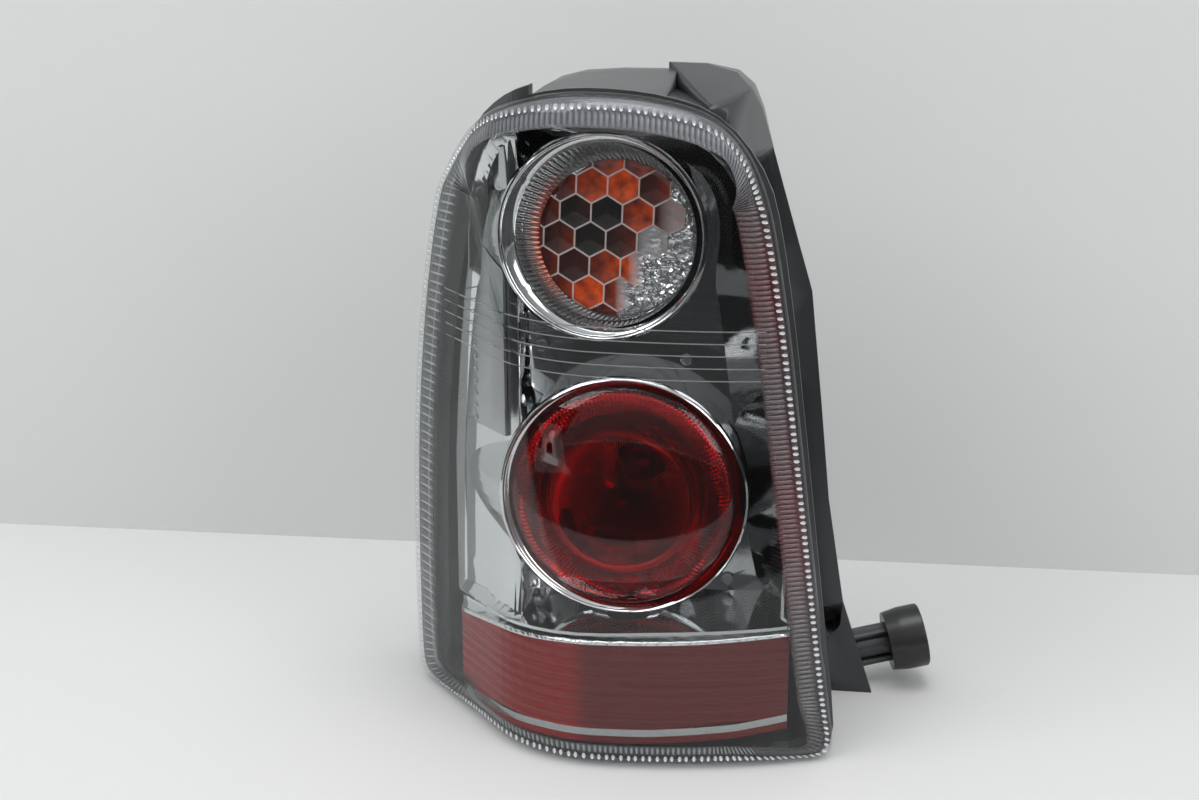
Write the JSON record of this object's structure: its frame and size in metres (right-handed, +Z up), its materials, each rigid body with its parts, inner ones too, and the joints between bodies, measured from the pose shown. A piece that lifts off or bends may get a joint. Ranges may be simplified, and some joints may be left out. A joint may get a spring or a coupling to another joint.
{
  "type": "tail light cluster",
  "caption": "Wrap-around tail light cluster with a clear ribbed lens, a honeycomb upper lamp, a red domed lower lamp, a red band and a black housing with a locating peg.",
  "frame": {"origin": "bottom centre of the bounding box, on the surface the cluster stands on", "axes": "+Z up along the height of the lens, the round lamps face -Y, the wrap-around side is at -X"},
  "size_m": [0.353, 0.185, 0.423],
  "materials": {
    "clear_lens": "clear polycarbonate with ribbed border",
    "black_seal": "black sealing bead",
    "black_plastic": "moulded black plastic",
    "chromed_plastic": "bright metallised plastic",
    "clear_cap": "clear plastic with honeycomb optics",
    "red_dome": "transparent red plastic",
    "reflector": "vapour-coated reflector",
    "red_band": "transparent red plastic with flutes",
    "side_clear": "clear fluted plastic",
    "amber_glass": "amber glass",
    "bulb_glass": "clear glass",
    "bulb_metal": "plain metal cap",
    "grey_plastic": "moulded grey plastic",
    "zinc_steel": "zinc plated steel"
  },
  "bodies": {
    "root": {"outer_lens": "clear_lens", "lens_seal": "black_seal", "housing": "black_plastic", "peg_barrel": "black_plastic", "bezel": "chromed_plastic", "upper_ring": "chromed_plastic", "lower_ring": "chromed_plastic", "upper_drum": "chromed_plastic", "lower_drum": "chromed_plastic", "upper_cap": "clear_cap", "lower_cap": "red_dome", "upper_reflector": "reflector", "lower_reflector": "reflector", "band_lens": "red_band", "band_tray": "chromed_plastic", "band_trim": "chromed_plastic", "sill_trim": "chromed_plastic", "sill_lens": "red_band", "side_lens": "side_clear", "turn_glass": "amber_glass", "stop_glass": "bulb_glass", "fog_glass": "bulb_glass", "turn_base": "bulb_metal", "stop_base": "bulb_metal", "fog_base": "bulb_metal", "turn_socket": "grey_plastic", "stop_socket": "grey_plastic", "fog_socket": "grey_plastic", "turn_gasket": "black_seal", "stop_gasket": "black_seal", "fog_gasket": "black_seal", "screw_a": "zinc_steel", "screw_b": "zinc_steel", "screw_c": "zinc_steel", "screw_d": "zinc_steel", "flange_sleeve": "zinc_steel"}
  },
  "joints": []
}
